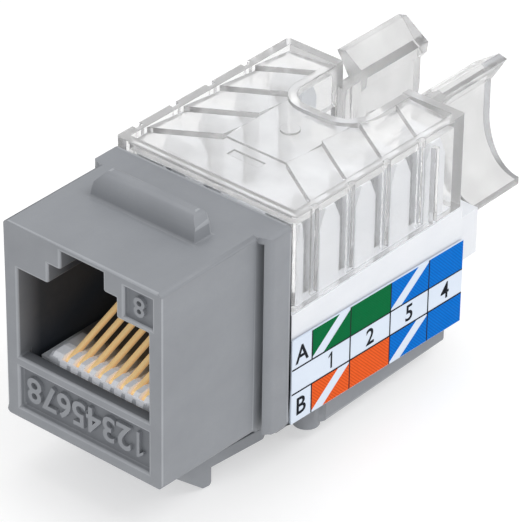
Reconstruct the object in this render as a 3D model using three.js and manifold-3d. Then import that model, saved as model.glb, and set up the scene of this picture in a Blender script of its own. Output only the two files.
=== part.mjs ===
// Right-angle keystone jack with a clear snap-on wiring cap. Millimetres, +Z up.
// It is laid out with X across, Y from the port face towards the cable, and Z = 0 on the
// nose's underside; the group at the end moves that layout onto the part's own origin.
import * as THREE from "three";
import { mergeVertices } from "three/addons/utils/BufferGeometryUtils.js";
import Module from "manifold-3d";

// ---------------------------------------------------------------- driving dimensions
const GAP = 0.3; // between neighbouring pieces that would touch
const OVER = 1; // how far a cutter reaches past the face it opens

// nose: the block that fills a keystone window
const NOSE_WIDTH = 14.5;
const NOSE_HEIGHT = 16;
const NOSE_DEPTH = 9.8;
const NOSE_TAPER = 0.3; // its underside falls this much from front to rear
const NOSE_CORNER = 0.35;
const FRONT_WALL = 1.1; // front panel under the port
const SLED_FLOOR = 0.7; // wall under the space that holds the contact carrier

// fixed lug on top of the nose
const LUG_LENGTH = 9.6;
const LUG_TOP_LENGTH = 8;
const LUG_FRONT = 6.15;
const LUG_DEPTH = 1.8;
const LUG_HEIGHT = 1.9;

// flange that stops against the back of a wall plate
const FLANGE_LIP = 0.95; // how far it stands out beside the nose
const FLANGE_THICKNESS = 2.55;
const FLANGE_DROP = [0.3, 1.1]; // below Z = 0 at its front and rear face
const FLANGE_CORNER = 0.9;

// eight-way modular port
const PORT_WIDTH = 12.1;
const PORT_ROOF = 0.45; // left above the upper notch
const PORT_HEIGHT = 7.3;
const PORT_STEPS = [
  { width: 6.3, rise: 1.6 },
  { width: 3.95, rise: 1.5 },
];
const CONTACT_COUNT = 8;
const CONTACT_PITCH = 1.02;
const CONTACT_DIAMETER = 0.48;
const CONTACT_RISE = 22.5; // degrees above level
const BEND_Y = 2.78; // centre of each contact's front bend
const BEND_DROP = 0.79; // that centre's depth below the port's floor
const BEND_RADIUS = 0.42;
const CONTACT_REACH = 10.9; // Y of a contact's free end

// recessed panels on the port face
const PANEL = { bottom: 0.9, drop: 0.83, depth: 0.55 }; // drop: its top below the port's floor
const SMALL_PANEL = { inset: 0.85, width: 2.55, drop: 0.75, height: 2.4, depth: 0.4 };

// contact carrier
const COMB_FRONT = 1.8;
const COMB_DEPTH = 3.85;
const COMB_DROP = 0.13; // below the port's floor
const COMB_TOOTH = 0.4;
const COMB_END = 0.7; // extra width of the two outer teeth
const TONGUE_DROP = 0.65;
const TONGUE_THICKNESS = 1.9;
const CARRIER_BACK = 1; // thickness of its upright wall
const CARRIER_DROP = 0.25; // its top, below the port's ceiling
const CARRIER_SKIN = 0.35; // left behind the blind slots for the contacts' free ends
const SLOT_RISE = 0.85; // those slots' lower ends, above the port's floor

// tray behind the flange
const BODY_LENGTH = 19.55; // flange to the rear of the sides
const SKIRT_INSET = 0.05; // each side, from the flange
const SKIRT_WALL = 1;
const SKIRT_BOTTOM = -0.5;
const SKIRT_SLOPE = 0.04; // fall of its lower edge for each millimetre rearward
const TRAY_FLOOR = 0.1; // top of the floor in front of the belly
const BELLY_INSET = 0.7;
const BELLY_BOTTOM = -3.1;
const BELLY_WALL = 1;
const BELLY_FRONT = 16.7;
const BELLY_SHORT = 0.65; // how far it stops short of the skirt
const BELLY_CORNER = 0.8;
const FOOT_DROP = 0.35;
const FOOT_RADIUS = 1;
const FOOT_INSET = 1.2; // foot centre from the belly's side

// flexible latch under the nose
const LATCH_WIDTH = 10.6;
const LATCH_ROOT = [1.3, 2.6]; // Y where it joins the nose
const LATCH_RAMP_TOP = -0.45;
const LATCH_CATCH = 7.5; // Y of the catch's upright face
const LATCH_BOTTOM = -4.45;
const LATCH_STRIP_BOTTOM = -2.98;
const LATCH_STRIP_FALL = 0.55;
const LATCH_STRIP = 1; // thickness
const LATCH_END = 13.3;

// circuit board
const BOARD_THICKNESS = 1.2;
const BOARD_GAP = 0.4; // under the carrier
const BOARD_FRONT = 4;
const BOARD_TONGUE_SIDE = 0.35; // clearance beside it in the port
const BOARD_SIDE = 0.35; // and in the tray

// white block with the wire towers
const BLOCK_INSET = 0.1; // each side, from the flange
const BLOCK_HEIGHT = 6;
const TAIL_INSET = 0.7;
const TAIL_LENGTH = 2.7;
const TAIL_RISE = 0.55; // its underside above the block's
const TAIL_HEIGHT = 3.85;
const TROUGH_RADIUS = 3;
const SLOT_COUNT = 4;
const SLOT_WIDTH = 1.75;
const TOWER_DEPTH = 2.5; // across the block
const TOWER_HEADROOM = 0.45; // under the cap's deck
const TOWER_POINT = 1.4; // height of the pointed top
const TOWER_END = 0.7; // length of the short towers at the front
const TOWER_REAR_ROOM = 0.55; // last tower to the cap's rear wall

// insulation-displacement terminals
const TERMINAL_THICKNESS = 0.4;
const TERMINAL_SIDE = 0.2; // clearance beside a blade in its slot
const TERMINAL_DROP = 0.9; // below the towers' tops
const TERMINAL_SEAT = 3.3; // depth of the blade's pocket in the block
const TERMINAL_SLIT = 0.34;
const TERMINAL_SLIT_DEPTH = 4.6;
const TERMINAL_PIN = 0.5;
const TERMINAL_PIN_REACH = 0.6; // below the board
const POCKET_CLEARANCE = 0.3;

// clear cap
const CAP_OVERHANG = 0.1; // each side, beyond the flange
const CAP_WALL = 0.8;
const CAP_FRONT_WALL = 0.8;
const CAP_SHEET = 0.45; // thickness of the deck between the rims
const CAP_SETBACK = 0.35; // its rear face ahead of the block's
const RIM = 0.75;
const RIM_RISE = 0.55; // above the deck
const LANE_WIDTH = 5.8; // middle lane between the grip ribs
const LANE_FRONT = 5.65; // from the cap's front
const LANE_RISE = 0.17;
const GRIP_COUNT = 4;
const GRIP_FIRST = 2.45; // first rib's outer end from the cap's front
const GRIP_SLOPE = 0.62; // rearward run for each millimetre inwards
const GRIP_RISE = 0.45;
const GROOVE_WIDTH = 0.7;
const GROOVE_DEPTH = 0.33;
const GATE_RADIUS = 0.75;
const GATE_SETBACK = 3.6; // behind the lane's front
const TAB_SLOT = 0.4;
const TAB_LENGTH = 3;

// cable entry in the cap
const ENTRY_WIDTH = 6.1;
const ENTRY_LENGTH = 6.5;
const ENTRY_CORNER = 2;
const ENTRY_WALL = 0.7;
const ENTRY_WALL_DEPTH = 3; // below the deck

// cable arms behind the cap
const ARM_END = 9; // past the cap's rear face
const ARM_INNER = 2.75;
const ARM_OUTER = 3.87;
const ARM_STRAIGHT = 4.8; // outward flare starts this far below the cap's deck
const ARM_FOOT_X = 6.85;
const ARM_FOOT = [10, 9.4]; // the flare's lower and upper faces at its end, below the deck
const ARM_TAIL_GAP = 0.35; // between the flare and the block's tail
const ARM_ROOT_RISE = 0.4; // the plate's lower edge above the cap's
const LIP_SETBACK = 1.8;
const LIP = { innerX: 2.2, outerX: 5.1, heel: 2.8, nose: 2.2, rise: 2.35 }; // below the deck

// side labels
const LABEL_THICKNESS = 0.14;
const LABEL_DROP = 2; // its top edge below the block's top
const LABEL_STANDOFF = 0.05;

// ---------------------------------------------------------------- derived planes
const FLANGE_WIDTH = NOSE_WIDTH + 2 * FLANGE_LIP;
const SKIRT_WIDTH = FLANGE_WIDTH - 2 * SKIRT_INSET;
const BELLY_WIDTH = FLANGE_WIDTH - 2 * BELLY_INSET;
const BLOCK_WIDTH = FLANGE_WIDTH - 2 * BLOCK_INSET;
const TAIL_WIDTH = FLANGE_WIDTH - 2 * TAIL_INSET;
const CAP_WIDTH = FLANGE_WIDTH + 2 * CAP_OVERHANG;
const FLANGE_BACK = NOSE_DEPTH + FLANGE_THICKNESS;
const BLOCK_FRONT = FLANGE_BACK + GAP;
const BODY_BACK = FLANGE_BACK + BODY_LENGTH;
const CAP_FRONT = FLANGE_BACK + GAP;
const CAP_BACK = BODY_BACK - CAP_SETBACK;
const ARM_BACK = CAP_BACK + ARM_END;
const NOTCH_RISE = PORT_STEPS.reduce((sum, step) => sum + step.rise, 0);
const PORT_CEILING = NOSE_HEIGHT - PORT_ROOF - NOTCH_RISE;
const PORT_FLOOR = PORT_CEILING - PORT_HEIGHT;
const BEND_Z = PORT_FLOOR - BEND_DROP;
const COMB_TOP = PORT_FLOOR - COMB_DROP;
const TONGUE_TOP = PORT_FLOOR - TONGUE_DROP;
const CARRIER_TOP = PORT_CEILING - CARRIER_DROP;
const BOARD_TOP = TONGUE_TOP - TONGUE_THICKNESS - BOARD_GAP;
const BOARD_BOTTOM = BOARD_TOP - BOARD_THICKNESS;
const SKIRT_TOP = BOARD_TOP;
const BLOCK_BOTTOM = SKIRT_TOP + GAP;
const BLOCK_TOP = BLOCK_BOTTOM + BLOCK_HEIGHT;
const CAP_BOTTOM = BLOCK_TOP + GAP;
const CAP_FLOOR = NOSE_HEIGHT; // the deck's upper face, level with the nose
const CAP_TOP = CAP_FLOOR + RIM_RISE;
const TOWER_TOP = CAP_FLOOR - CAP_SHEET - TOWER_HEADROOM;
const TOWER_OUTER = CAP_WIDTH / 2 - CAP_WALL - GAP;
const TOWER_INNER = TOWER_OUTER - TOWER_DEPTH;
const TOWER_FRONT = CAP_FRONT + CAP_FRONT_WALL + GAP;
const TOWER_BACK = CAP_BACK - CAP_WALL - TOWER_REAR_ROOM;
const SLOT_PITCH = (TOWER_BACK - TOWER_FRONT - TOWER_END) / SLOT_COUNT;
const TERMINAL_X = (TOWER_OUTER + TOWER_INNER) / 2;
const TERMINAL_WIDTH = SLOT_WIDTH - 2 * TERMINAL_SIDE;
const TERMINAL_TOP = TOWER_TOP - TERMINAL_DROP;
const TERMINAL_SHOULDER = BLOCK_TOP - TERMINAL_SEAT;
const BELLY_BACK = BODY_BACK - BELLY_SHORT;

// ---------------------------------------------------------------- materials
const paint = (color, roughness, metalness = 0, opacity = 1) =>
  new THREE.MeshStandardMaterial({
    color,
    roughness,
    metalness,
    opacity,
    transparent: opacity < 1,
  });
const GREY = paint(0x92969a, 0.55);
const PALE_GREY = paint(0xbfc4cc, 0.5);
const WHITE = paint(0xeef1f6, 0.45);
const CLEAR = paint(0xe8ecee, 0.08, 0, 0.35);
const GOLD = paint(0xe6bd72, 0.28, 1);
const TIN = paint(0xb9bcc0, 0.35, 1);
const BOARD_GREEN = paint(0x1c5a34, 0.5);
const LABEL_PAPER = paint(0xd9e3ee, 0.6);

// ---------------------------------------------------------------- solid helpers
const wasm = await Module();
wasm.setup();

function toSolid(geometry) {
  const bare = geometry.clone();
  bare.deleteAttribute("normal");
  bare.deleteAttribute("uv");
  const merged = mergeVertices(bare, 1e-5);
  return new wasm.Manifold(
    new wasm.Mesh({
      numProp: 3,
      vertProperties: new Float32Array(merged.attributes.position.array),
      triVerts: new Uint32Array(merged.index.array),
    }),
  );
}

function toMesh(name, solid, material) {
  const raw = solid.getMesh();
  const geometry = new THREE.BufferGeometry();
  geometry.setAttribute("position", new THREE.BufferAttribute(raw.vertProperties, 3));
  geometry.setIndex(new THREE.BufferAttribute(raw.triVerts, 1));
  geometry.computeVertexNormals();
  const mesh = new THREE.Mesh(geometry, material);
  mesh.name = name;
  return mesh;
}

function block(x, y, z) {
  const geometry = new THREE.BoxGeometry(x[1] - x[0], y[1] - y[0], z[1] - z[0]);
  geometry.translate((x[0] + x[1]) / 2, (y[0] + y[1]) / 2, (z[0] + z[1]) / 2);
  return toSolid(geometry);
}

const outline = (points) => new THREE.Shape(points.map(([a, b]) => new THREE.Vector2(a, b)));

// A rectangle with one radius for each corner, anticlockwise from the low-low corner.
function roundedRect(a, b, radii) {
  const [r0, r1, r2, r3] = radii;
  const shape = new THREE.Shape();
  shape.moveTo(a[0] + r0, b[0]);
  shape.lineTo(a[1] - r1, b[0]);
  if (r1) shape.absarc(a[1] - r1, b[0] + r1, r1, -Math.PI / 2, 0, false);
  shape.lineTo(a[1], b[1] - r2);
  if (r2) shape.absarc(a[1] - r2, b[1] - r2, r2, 0, Math.PI / 2, false);
  shape.lineTo(a[0] + r3, b[1]);
  if (r3) shape.absarc(a[0] + r3, b[1] - r3, r3, Math.PI / 2, Math.PI, false);
  shape.lineTo(a[0], b[0] + r0);
  if (r0) shape.absarc(a[0] + r0, b[0] + r0, r0, Math.PI, 1.5 * Math.PI, false);
  return shape;
}

function extrude(shape, depth, curveSegments = 5) {
  return new THREE.ExtrudeGeometry(shape, { depth, bevelEnabled: false, curveSegments });
}

// Shape drawn in (Y, Z), swept from x[0] to x[1].
function alongX(shape, x, curveSegments) {
  const geometry = extrude(shape, x[1] - x[0], curveSegments);
  geometry.applyMatrix4(
    new THREE.Matrix4().makeBasis(
      new THREE.Vector3(0, 1, 0),
      new THREE.Vector3(0, 0, 1),
      new THREE.Vector3(1, 0, 0),
    ),
  );
  geometry.translate(x[0], 0, 0);
  return toSolid(geometry);
}

// Shape drawn in (X, Z), swept from y[0] to y[1].
function alongY(shape, y, curveSegments) {
  const geometry = extrude(shape, y[1] - y[0], curveSegments);
  geometry.applyMatrix4(
    new THREE.Matrix4().makeBasis(
      new THREE.Vector3(1, 0, 0),
      new THREE.Vector3(0, 0, 1),
      new THREE.Vector3(0, -1, 0),
    ),
  );
  geometry.translate(0, y[1], 0);
  return toSolid(geometry);
}

// Shape drawn in (X, Y), swept from z[0] to z[1].
function alongZ(shape, z, curveSegments) {
  const geometry = extrude(shape, z[1] - z[0], curveSegments);
  geometry.translate(0, 0, z[0]);
  return toSolid(geometry);
}

const centred = (width) => [-width / 2, width / 2];
const mirrored = (solid) => toSolid(mirrorGeometry(solid));

function mirrorGeometry(solid) {
  const raw = solid.getMesh();
  const positions = Float32Array.from(raw.vertProperties, (v, i) => (i % 3 ? v : -v));
  const faces = Uint32Array.from(raw.triVerts);
  for (let i = 0; i < faces.length; i += 3) {
    [faces[i + 1], faces[i + 2]] = [faces[i + 2], faces[i + 1]];
  }
  const geometry = new THREE.BufferGeometry();
  geometry.setAttribute("position", new THREE.BufferAttribute(positions, 3));
  geometry.setIndex(new THREE.BufferAttribute(faces, 1));
  return geometry;
}

// ---------------------------------------------------------------- housing
function lug() {
  const rear = LUG_FRONT + LUG_DEPTH;
  const top = NOSE_HEIGHT + LUG_HEIGHT;
  const round = 0.35;
  const front = LUG_DEPTH - 2 * round;
  const profile = new THREE.Shape();
  profile.moveTo(LUG_FRONT, NOSE_HEIGHT - GAP);
  profile.lineTo(rear, NOSE_HEIGHT - GAP);
  profile.lineTo(rear, top - round);
  profile.absarc(rear - round, top - round, round, 0, Math.PI / 2, false);
  profile.absellipse(LUG_FRONT + front, NOSE_HEIGHT, front, LUG_HEIGHT, Math.PI / 2, Math.PI, false);
  const half = LUG_LENGTH / 2;
  const topHalf = LUG_TOP_LENGTH / 2;
  const ends = outline([
    [-half, NOSE_HEIGHT - GAP],
    [half, NOSE_HEIGHT - GAP],
    [half, NOSE_HEIGHT],
    [half - 0.15, NOSE_HEIGHT + 0.6 * LUG_HEIGHT],
    [topHalf, top],
    [-topHalf, top],
    [0.15 - half, NOSE_HEIGHT + 0.6 * LUG_HEIGHT],
    [-half, NOSE_HEIGHT],
  ]);
  return alongX(profile, centred(LUG_LENGTH), 6).intersect(
    alongY(ends, [LUG_FRONT - OVER, rear + OVER]),
  );
}

function portCutter(back) {
  let z = PORT_FLOOR + PORT_HEIGHT;
  let cutter = block(centred(PORT_WIDTH), [-OVER, back], [PORT_FLOOR, z]);
  for (const step of PORT_STEPS) {
    cutter = cutter.add(block(centred(step.width), [-OVER, back], [z - OVER, z + step.rise]));
    z += step.rise;
  }
  return cutter;
}

function recesses() {
  const lower = block(centred(PORT_WIDTH), [-OVER, PANEL.depth], [
    PANEL.bottom,
    PORT_FLOOR - PANEL.drop,
  ]);
  const right = NOSE_WIDTH / 2 - SMALL_PANEL.inset;
  const top = NOSE_HEIGHT - SMALL_PANEL.drop;
  return lower.add(
    block([right - SMALL_PANEL.width, right], [-OVER, SMALL_PANEL.depth], [
      top - SMALL_PANEL.height,
      top,
    ]),
  );
}

function flange() {
  const r = FLANGE_CORNER;
  const [frontDrop, rearDrop] = FLANGE_DROP;
  const face = roundedRect(centred(FLANGE_WIDTH), [-rearDrop, NOSE_HEIGHT], [r, r, r / 2, r / 2]);
  const plan = roundedRect(centred(FLANGE_WIDTH), [NOSE_DEPTH, FLANGE_BACK], [r, r, 0, 0]);
  const side = outline([
    [NOSE_DEPTH - OVER, -frontDrop],
    [NOSE_DEPTH + r / 2, -frontDrop],
    [FLANGE_BACK, -rearDrop],
    [FLANGE_BACK, NOSE_HEIGHT],
    [NOSE_DEPTH - OVER, NOSE_HEIGHT],
  ]);
  return alongY(face, [NOSE_DEPTH, FLANGE_BACK])
    .intersect(alongZ(plan, [-rearDrop - OVER, NOSE_HEIGHT + OVER]))
    .intersect(alongX(side, centred(FLANGE_WIDTH + OVER)));
}

function tray() {
  const skirt = outline([
    [FLANGE_BACK - GAP, SKIRT_BOTTOM],
    [BODY_BACK, SKIRT_BOTTOM - SKIRT_SLOPE * BODY_LENGTH],
    [BODY_BACK, SKIRT_TOP],
    [FLANGE_BACK - GAP, SKIRT_TOP],
  ]);
  const r = BELLY_CORNER;
  const belly = roundedRect(centred(BELLY_WIDTH), [BELLY_FRONT, BELLY_BACK], [r, r, 0, 0]);
  let solid = alongX(skirt, centred(SKIRT_WIDTH)).add(
    alongZ(belly, [BELLY_BOTTOM, SKIRT_TOP - GAP]),
  );
  const bottom = BELLY_BOTTOM - FOOT_DROP;
  const height = SKIRT_BOTTOM - bottom;
  for (const side of [-1, 1]) {
    const foot = new THREE.CylinderGeometry(FOOT_RADIUS, FOOT_RADIUS, height, 24);
    foot.rotateX(Math.PI / 2);
    foot.translate(side * (BELLY_WIDTH / 2 - FOOT_INSET), BELLY_FRONT, bottom + height / 2);
    solid = solid.add(toSolid(foot));
  }
  return solid;
}

// The nose's block, with its underside falling a little towards the rear.
function noseBlock() {
  const corners = new Array(4).fill(NOSE_CORNER);
  const solid = alongY(
    roundedRect(centred(NOSE_WIDTH), [0, NOSE_HEIGHT], corners),
    [0, NOSE_DEPTH + GAP],
    3,
  );
  return solid.warp((v) => {
    v[2] -= NOSE_TAPER * (v[1] / NOSE_DEPTH) * (1 - v[2] / NOSE_HEIGHT);
  });
}

function housing() {
  const sledHeight = [SLED_FLOOR, PORT_FLOOR + OVER];
  const innerBack = BELLY_BACK - BELLY_WALL;
  const latchRoom = LATCH_WIDTH / 2 + 2 * GAP;
  return noseBlock()
    .add(lug())
    .add(flange())
    .add(tray())
    .subtract(portCutter(FLANGE_BACK + OVER))
    .subtract(block(centred(PORT_WIDTH), [FRONT_WALL, FLANGE_BACK + OVER], sledHeight))
    .subtract(recesses())
    .subtract(
      block(centred(SKIRT_WIDTH - 2 * SKIRT_WALL), [FLANGE_BACK, BODY_BACK + OVER], [
        TRAY_FLOOR,
        NOSE_HEIGHT,
      ]),
    )
    .subtract(
      block(centred(BELLY_WIDTH - 2 * BELLY_WALL), [BELLY_FRONT + BELLY_WALL, innerBack], [
        BELLY_BOTTOM + BELLY_WALL,
        BOARD_BOTTOM,
      ]),
    )
    .subtract(
      block([-latchRoom, latchRoom], [NOSE_DEPTH, FLANGE_BACK + OVER], [
        -FLANGE_DROP[1] - OVER,
        -NOSE_TAPER,
      ]),
    );
}

// ---------------------------------------------------------------- latch
// A strip that hangs from the nose at its front and springs down: ramp, catch, then a tail.
function latchArm() {
  const [rootFront, rootBack] = LATCH_ROOT;
  const stripEnd = LATCH_STRIP_BOTTOM - LATCH_STRIP_FALL;
  const round = 0.3;
  const profile = new THREE.Shape();
  profile.moveTo(rootFront, -GAP);
  profile.lineTo(rootFront, LATCH_RAMP_TOP);
  profile.lineTo(LATCH_CATCH - 0.9, LATCH_BOTTOM + 0.1);
  profile.lineTo(LATCH_CATCH - round, LATCH_BOTTOM);
  profile.absarc(LATCH_CATCH - round, LATCH_BOTTOM + round, round, -Math.PI / 2, 0, false);
  profile.lineTo(LATCH_CATCH, LATCH_STRIP_BOTTOM);
  profile.lineTo(LATCH_END - round, stripEnd);
  profile.absarc(LATCH_END - round, stripEnd + round, round, -Math.PI / 2, 0, false);
  profile.lineTo(LATCH_END, stripEnd + LATCH_STRIP);
  profile.lineTo(LATCH_CATCH - 2, LATCH_STRIP_BOTTOM + LATCH_STRIP + 0.2);
  profile.quadraticCurveTo(rootBack + 1, LATCH_STRIP_BOTTOM + LATCH_STRIP + 0.3, rootBack, -GAP);
  return alongX(profile, centred(LATCH_WIDTH));
}

// ---------------------------------------------------------------- contacts
// Seen from the front, with the latch notch up, the first contact is on the right.
const contactX = (i) => ((CONTACT_COUNT - 1) / 2 - i) * CONTACT_PITCH;

// Spring wire: a short lower leg, a bend round the carrier's nose, and a rising finger.
class ContactPath extends THREE.Curve {
  constructor() {
    super();
    this.rise = THREE.MathUtils.degToRad(CONTACT_RISE);
    this.leg = 0.55;
    this.arc = (Math.PI - this.rise) * BEND_RADIUS;
    const top = this.onBend(1);
    this.finger = (CONTACT_REACH - top.y) / Math.cos(this.rise);
    this.total = this.leg + this.arc + this.finger;
  }

  onBend(t) {
    const angle = -Math.PI / 2 - t * (Math.PI - this.rise);
    return new THREE.Vector3(
      0,
      BEND_Y + BEND_RADIUS * Math.cos(angle),
      BEND_Z + BEND_RADIUS * Math.sin(angle),
    );
  }

  getPoint(t, target = new THREE.Vector3()) {
    const s = t * this.total;
    if (s < this.leg) return target.set(0, BEND_Y + this.leg - s, BEND_Z - BEND_RADIUS);
    if (s < this.leg + this.arc) return target.copy(this.onBend((s - this.leg) / this.arc));
    const top = this.onBend(1);
    const along = s - this.leg - this.arc;
    return target.set(0, top.y + along * Math.cos(this.rise), top.z + along * Math.sin(this.rise));
  }
}

function contact(i) {
  const section = new THREE.Shape();
  section.absarc(0, 0, CONTACT_DIAMETER / 2, 0, 2 * Math.PI, false);
  const geometry = new THREE.ExtrudeGeometry(section, {
    extrudePath: new ContactPath(),
    steps: 34,
    curveSegments: 4,
  });
  geometry.translate(contactX(i), 0, 0);
  return toSolid(geometry);
}

// ---------------------------------------------------------------- contact carrier
function contactCarrier() {
  const half = PORT_WIDTH / 2 - GAP;
  const back = FLANGE_BACK - GAP / 2;
  const tongueBottom = TONGUE_TOP - TONGUE_THICKNESS;
  const toothEnd = COMB_FRONT + COMB_DEPTH;
  let carrier = block([-half, half], [COMB_FRONT + 0.15, back], [tongueBottom, TONGUE_TOP]).add(
    block([-half, half], [back - CARRIER_BACK, back], [tongueBottom, CARRIER_TOP]),
  );
  const tooth = outline([
    [COMB_FRONT + 0.15, tongueBottom],
    [toothEnd, tongueBottom],
    [toothEnd, TONGUE_TOP],
    [toothEnd - 0.3, COMB_TOP],
    [COMB_FRONT + 0.5, COMB_TOP],
    [COMB_FRONT + 0.12, COMB_TOP - 0.25],
    [COMB_FRONT, COMB_TOP - 0.6],
    [COMB_FRONT, TONGUE_TOP - 0.6],
  ]);
  for (let i = 0; i <= CONTACT_COUNT; i++) {
    const x = contactX(i) + CONTACT_PITCH / 2;
    const left = i === CONTACT_COUNT ? COMB_END : 0;
    const right = i === 0 ? COMB_END : 0;
    carrier = carrier.add(
      alongX(tooth, [x - COMB_TOOTH / 2 - left, x + COMB_TOOTH / 2 + right]),
    );
  }
  const room = (CONTACT_PITCH - COMB_TOOTH) / 2;
  for (let i = 0; i < CONTACT_COUNT; i++) {
    const x = [contactX(i) - room, contactX(i) + room];
    const notchBack = BEND_Y + 1.1;
    const notchFloor = BEND_Z - BEND_RADIUS - CONTACT_DIAMETER - GAP / 3;
    carrier = carrier
      .subtract(block(x, [COMB_FRONT - OVER, notchBack], [notchFloor, COMB_TOP + OVER]))
      .subtract(
        block(x, [back - 2 * OVER, back - CARRIER_SKIN], [
          PORT_FLOOR + SLOT_RISE,
          CARRIER_TOP - OVER,
        ]),
      );
  }
  return carrier;
}

// ---------------------------------------------------------------- white block
const slotY = (i) => TOWER_FRONT + TOWER_END + SLOT_WIDTH / 2 + i * SLOT_PITCH;

// One pointed tower, seen from the side, from front to rear in Y.
function tower(front, rear) {
  const shoulder = TOWER_TOP - TOWER_POINT;
  const lean = Math.min(0.6, (rear - front) * 0.3);
  return outline([
    [front, BLOCK_TOP - GAP],
    [rear, BLOCK_TOP - GAP],
    [rear, shoulder],
    [rear - lean, TOWER_TOP],
    [front + lean, TOWER_TOP],
    [front, shoulder],
  ]);
}

function idcBlock() {
  let solid = block(centred(BLOCK_WIDTH), [BLOCK_FRONT, BODY_BACK], [BLOCK_BOTTOM, BLOCK_TOP]);
  const tailBottom = BLOCK_BOTTOM + TAIL_RISE;
  const tailTop = tailBottom + TAIL_HEIGHT;
  const tail = block(
    centred(TAIL_WIDTH),
    [BODY_BACK - OVER, BODY_BACK + TAIL_LENGTH],
    [tailBottom, tailTop],
  );
  const trough = new THREE.CylinderGeometry(TROUGH_RADIUS, TROUGH_RADIUS, TAIL_LENGTH + OVER, 24);
  trough.translate(0, BODY_BACK + (TAIL_LENGTH + OVER) / 2, tailTop + TROUGH_RADIUS * 0.6);
  solid = solid.add(tail).subtract(toSolid(trough));
  const edges = [TOWER_FRONT];
  for (let i = 0; i < SLOT_COUNT; i++) {
    edges.push(slotY(i) - SLOT_WIDTH / 2, slotY(i) + SLOT_WIDTH / 2);
  }
  edges.push(TOWER_BACK);
  for (let i = 0; i < edges.length; i += 2) {
    const shape = tower(edges[i], edges[i + 1]);
    solid = solid
      .add(alongX(shape, [TOWER_INNER, TOWER_OUTER]))
      .add(alongX(shape, [-TOWER_OUTER, -TOWER_INNER]));
  }
  const wide = TERMINAL_WIDTH / 2 + POCKET_CLEARANCE / 2;
  const thick = TERMINAL_THICKNESS / 2 + POCKET_CLEARANCE;
  const pin = TERMINAL_PIN / 2 + POCKET_CLEARANCE;
  for (const side of [-1, 1]) {
    const x = side * TERMINAL_X;
    for (let i = 0; i < SLOT_COUNT; i++) {
      const y = slotY(i);
      solid = solid
        .subtract(
          block([x - thick, x + thick], [y - wide, y + wide], [
            TERMINAL_SHOULDER - GAP,
            BLOCK_TOP + OVER,
          ]),
        )
        .subtract(
          block([x - thick, x + thick], [y - pin, y + pin], [BLOCK_BOTTOM - OVER, BLOCK_TOP]),
        );
    }
  }
  return solid;
}

// Blade with a slit that cuts a wire's insulation, and a pin down through the board.
function terminal(side, i) {
  const y = slotY(i);
  const half = TERMINAL_WIDTH / 2;
  const slit = TERMINAL_SLIT / 2;
  const pin = TERMINAL_PIN / 2;
  const bottom = BOARD_BOTTOM - TERMINAL_PIN_REACH;
  const shape = outline([
    [y - pin, bottom],
    [y + pin, bottom],
    [y + pin, TERMINAL_SHOULDER],
    [y + half, TERMINAL_SHOULDER],
    [y + half, TERMINAL_TOP],
    [y + slit + 0.15, TERMINAL_TOP],
    [y + slit, TERMINAL_TOP - 0.5],
    [y + slit, TERMINAL_TOP - TERMINAL_SLIT_DEPTH],
    [y - slit, TERMINAL_TOP - TERMINAL_SLIT_DEPTH],
    [y - slit, TERMINAL_TOP - 0.5],
    [y - slit - 0.15, TERMINAL_TOP],
    [y - half, TERMINAL_TOP],
    [y - half, TERMINAL_SHOULDER],
    [y - pin, TERMINAL_SHOULDER],
  ]);
  const x = side * TERMINAL_X;
  return alongX(shape, [x - TERMINAL_THICKNESS / 2, x + TERMINAL_THICKNESS / 2]);
}

// ---------------------------------------------------------------- circuit board
function circuitBoard() {
  const z = [BOARD_BOTTOM, BOARD_TOP];
  const width = SKIRT_WIDTH - 2 * (SKIRT_WALL + BOARD_SIDE);
  const tongue = PORT_WIDTH - 2 * BOARD_TONGUE_SIDE;
  let board = block(centred(width), [FLANGE_BACK + GAP, BELLY_BACK - BELLY_WALL], z).add(
    block(centred(tongue), [BOARD_FRONT, FLANGE_BACK + 2 * GAP], z),
  );
  const hole = TERMINAL_PIN / 2 + POCKET_CLEARANCE;
  for (const side of [-1, 1]) {
    for (let i = 0; i < SLOT_COUNT; i++) {
      const cutter = new THREE.CylinderGeometry(hole, hole, 3 * BOARD_THICKNESS, 12);
      cutter.rotateX(Math.PI / 2);
      cutter.translate(side * TERMINAL_X, slotY(i), BOARD_BOTTOM);
      board = board.subtract(toSolid(cutter));
    }
  }
  return board;
}

// ---------------------------------------------------------------- clear cap
function entryOutline(grow) {
  const half = ENTRY_WIDTH / 2 + grow;
  const corner = ENTRY_CORNER + grow;
  return roundedRect([-half, half], [CAP_BACK - ENTRY_LENGTH - grow, CAP_BACK + OVER], [
    corner,
    corner,
    0,
    0,
  ]);
}

const gripPitch = (CAP_BACK - RIM - CAP_FRONT - GRIP_FIRST) / GRIP_COUNT;
const gripFront = (i) => CAP_FRONT + GRIP_FIRST + i * gripPitch;

// Sawtooth ribs: each steps up at its front edge and falls back to the sheet behind it.
function grips() {
  const outer = CAP_WIDTH / 2 - RIM;
  const inner = LANE_WIDTH / 2;
  const run = GRIP_SLOPE * (outer - inner);
  let ribs = null;
  for (let i = 0; i < GRIP_COUNT; i++) {
    const front = gripFront(i);
    const profile = outline([
      [front, CAP_FLOOR - CAP_SHEET / 2],
      [front + gripPitch, CAP_FLOOR - CAP_SHEET / 2],
      [front + gripPitch, CAP_FLOOR],
      [front, CAP_FLOOR + GRIP_RISE],
    ]);
    const geometry = extrude(profile, outer - inner);
    // drawn in (Y, Z) and swept inwards from the right rim, moving rearward as it goes
    geometry.applyMatrix4(
      new THREE.Matrix4().makeBasis(
        new THREE.Vector3(0, 1, 0),
        new THREE.Vector3(0, 0, 1),
        new THREE.Vector3(1, -run / (outer - inner), 0),
      ),
    );
    geometry.translate(inner, run, 0);
    const rib = toSolid(geometry);
    ribs = ribs ? ribs.add(rib) : rib;
  }
  const room = block([inner, outer + OVER], [CAP_FRONT, CAP_BACK - RIM], [CAP_FLOOR - OVER, CAP_TOP]);
  const kept = ribs.intersect(room);
  return kept.add(mirrored(kept));
}

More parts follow.
